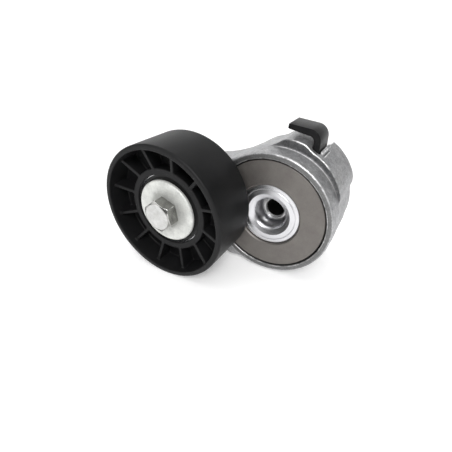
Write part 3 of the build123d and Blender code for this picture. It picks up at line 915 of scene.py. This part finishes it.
def bolt():
    x, z = PULLEY
    step = 0.16
    low, high = (x - 9, -69.9, z - 9), (x + 9, -61.6, z + 9)
    head, p = solid_from("bolt_head", head_distance, low, high, step)
    # Painted highlight, partly wear: the head's outer edges, kept for its material.
    edge = np.clip((curvature(head_distance, p, 0.22) - 0.7) / 2.2, 0, 1) * (p[:, 1] > -68.9)
    edge_patchiness = np.clip(0.8 + 0.9 * lattice_noise(p, 1.4, 6), 0.1, 1.2)
    store(head, "wear_and_highlight", edge * edge_patchiness)
    thread = [
        (THREAD_CREST if k % 2 else THREAD_ROOT, THREAD_START + 0.75 * k, 0)
        for k in range(1, 18)
    ]
    shank = [
        (0.01, -62.6, 0), (SHANK_RADIUS, -62.6, 0), (SHANK_RADIUS, THREAD_START, 0.2),
        *thread, (4.2, SHANK_REAR, 0.3), (0.01, SHANK_REAR, 0),
    ]
    return head, lathe("bolt_shank", shank, PULLEY, 96, closed=False)


for piece in bolt():
    dress(piece, "bolt", "arm", "zinc_steel", "pulley_bolt")

WASHER_PROFILE = [
    (5.2, HEAD_REAR, 0), (15.75, HEAD_REAR, 0.25), (16.2, -61.9, 0.25), (16.2, -60.74, 0.3),
    (11.2, -60.74, 0.2), (11.2, -59.6, 0), (5.2, -59.6, 0),
]
SLINGER_PROFILE = [
    (8.5, -47.6, 0), (11.2, -47.6, 0), (11.2, -47.25, 0), (16.2, -47.25, 0.15),
    (16.2, NOSE_FRONT, 0.25), (8.5, NOSE_FRONT, 0),
]

dress(
    lathe("washer", WASHER_PROFILE, PULLEY, 256),
    "washer", "arm", "zinc_steel", "dust_washer",
)
dress(
    lathe("slinger", SLINGER_PROFILE, PULLEY, 192),
    "washer", "arm", "zinc_steel", "rear_slinger",
)
for name, side in (("front_seal", -1), ("rear_seal", 1)):
    face = PULLEY_MID + side * 5.4
    back = PULLEY_MID + side * 4.4
    dip = face - side * 0.35
    profile = [
        (12.35, back, 0), (12.35, face, 0.2), (13.4, face, 0.2), (13.7, dip, 0.2),
        (16.6, dip, 0.2), (16.9, face, 0.2), (18.25, face, 0.15), (18.25, back, 0),
    ]
    dress(lathe(name + "_lip", profile, PULLEY, 192), "seal", "pulley", "seal_rubber", name)


# ------------------------------------------------------------------ pulley
RIM_OUTER, RIM_INNER, RIM_HALF_WIDTH = 35.0, 32.3, 14.1
RIM_EDGE = 1.1
HUB_OUTER, HUB_INNER, HUB_HALF_WIDTH = 21.9, 20.05, 7.7
LIP_INNER, LIP_BACK = 18.6, 6.05
RIB_COUNT, RIB_TURN, RIB_HALF_THICK = 12, 16.0, 0.82


def pulley_distance(x, y, z):
    x, z = x - PULLEY[0], z - PULLEY[1]
    depth = np.abs(y - PULLEY_MID)
    r = np.hypot(x, z)
    past_r = np.maximum(r - (RIM_OUTER - RIM_EDGE), 0)
    past_y = np.maximum(depth - (RIM_HALF_WIDTH - RIM_EDGE), 0)
    corner = np.hypot(past_r, past_y) - RIM_EDGE
    ring = np.maximum(r - RIM_OUTER, RIM_INNER - r)
    rim = np.maximum(ring, np.maximum(depth - RIM_HALF_WIDTH, corner))
    hub = smax(np.maximum(r - HUB_OUTER, HUB_INNER - r), depth - HUB_HALF_WIDTH, 0.5)
    hub_lip = smax(np.maximum(r - 21.0, LIP_INNER - r), slab(depth, LIP_BACK, HUB_HALF_WIDTH), 0.35)
    body = smin(rim, smin(hub, hub_lip, 0.1), 0.1)
    disc = np.maximum(np.maximum(r - 33.0, 21.0 - r), depth - 1.5)
    body = smin(body, disc, 0.9)
    pitch = 360.0 / RIB_COUNT
    turn = np.degrees(np.arctan2(z, x)) - RIB_TURN
    turn = (turn + pitch / 2) % pitch - pitch / 2
    across = np.abs(np.sin(np.radians(turn))) * r
    height = HUB_HALF_WIDTH + 2.9 * np.clip((r - 21.3) / 11.6, 0, 1)
    side = across - RIB_HALF_THICK - 0.03 * (height - depth)
    rib = smax(side, (depth - height) * 0.97, 0.35)
    rib = np.maximum(rib, np.maximum(r - 33.0, 21.2 - r))
    return smin(body, rib, 0.45)


def pulley():
    x, z = PULLEY
    step = 0.36
    reach, margin = 35.8, 0.8
    low = (x - reach, PULLEY_FRONT - margin, z - reach)
    high = (x + reach, PULLEY_REAR + margin, z + reach)
    return solid_from("pulley_body", pulley_distance, low, high, step)[0]


dress(pulley(), "pulley", "pulley", "black_polymer", "pulley_wheel")

# ------------------------------------------------------------------ CAD nodes that stay
KEEP = {
    "spring_guide": "bush",
    "base_plate": "disc",
    "locating_pin": "zinc",
    "friction_ring": "bush",
    "front_bush": "bush",
    "rear_bush": "bush",
    "bearing_inner_ring": "bearing",
    "bearing_outer_ring": "bearing",
    "bearing_balls": "bearing",
    "bearing_cage": "cage",
}
for node, material in KEEP.items():
    slots = nodes[node].data.materials
    slots.clear()
    slots.append(MATERIALS[material])

# ------------------------------------------------------------------ floor, light, camera
VIEW_AZIMUTH = 30.2


def studio_floor():
    """A floor that curves up into a backdrop behind the object, square to the camera's view."""
    level = cad_box[0][2] / MM - 0.02
    far, bend, top = 1400.0, 500.0, 1000.0
    path = [(-2500.0, level), (-800.0, level), (0.0, level), (far - bend, level)]
    for k in range(1, 17):
        a = math.pi / 2 * k / 16
        path.append((far - bend + bend * math.sin(a), level + bend * (1 - math.cos(a))))
    path += [(far, level + top * 0.6), (far, level + top)]
    turn = math.radians(VIEW_AZIMUTH)
    verts = [
        (x * math.cos(turn) - y * math.sin(turn), x * math.sin(turn) + y * math.cos(turn), z)
        for y, z in path
        for x in (-4000.0, 4000.0)
    ]
    faces = [(2 * k, 2 * k + 1, 2 * k + 3, 2 * k + 2) for k in range(len(path) - 1)]
    return new_object("floor", verts, faces)


floor = studio_floor()
g = Graph("floor_paper")
g.set(base_color=(0.90, 0.90, 0.90, 1), roughness=0.9, specular_ior_level=0.1)
g.set(emission_color=(1.0, 1.0, 1.0, 1), emission_strength=0.24)
floor.data.materials.append(g.material)

world = bpy.data.worlds.new("studio")
bpy.context.scene.world = world
world.use_nodes = True
background = world.node_tree.nodes["Background"]
background.inputs["Color"].default_value = (1, 1, 1, 1)
background.inputs["Strength"].default_value = 0.14


def softbox(name, place, target, size, power):
    """A rectangular area light; place, target and size in metres, power in watts."""
    light = bpy.data.lights.new(name, "AREA")
    light.shape = "RECTANGLE"
    light.size, light.size_y = size
    light.energy = power
    obj = bpy.data.objects.new(name, light)
    bpy.context.scene.collection.objects.link(obj)
    obj.location = place
    obj.rotation_euler = (Vector(target) - Vector(place)).to_track_quat("-Z", "Y").to_euler()


softbox("overhead", (-0.1, -0.05, 1.6), (-0.1, -0.05, 0), (2.4, 1.8), 19)
softbox("key", (0.34, -0.60, 0.62), (-0.02, -0.03, 0), (0.36, 0.36), 5.0)
softbox("front_fill", (-0.75, -0.9, 0.35), (-0.03, -0.04, 0), (0.9, 0.6), 3.0)
softbox("backdrop_wash", (-0.3, 0.45, 0.9), (-0.75, 1.25, 0.45), (3.0, 0.6), 9)

CAMERA_PLACE = (0.051893, -0.167990, 0.079669)
CAMERA_AIM = (-0.42798, 0.73502, -0.52590)
camera = bpy.data.objects.new("camera", bpy.data.cameras.new("camera"))
bpy.context.scene.collection.objects.link(camera)
camera.location = CAMERA_PLACE
camera.rotation_euler = Vector(CAMERA_AIM).to_track_quat("-Z", "Y").to_euler()
camera.data.lens = 25.685
camera.data.sensor_width = 36.0
camera.data.clip_start = 0.005
bpy.context.scene.camera = camera
bpy.context.scene.view_settings.view_transform = "Standard"
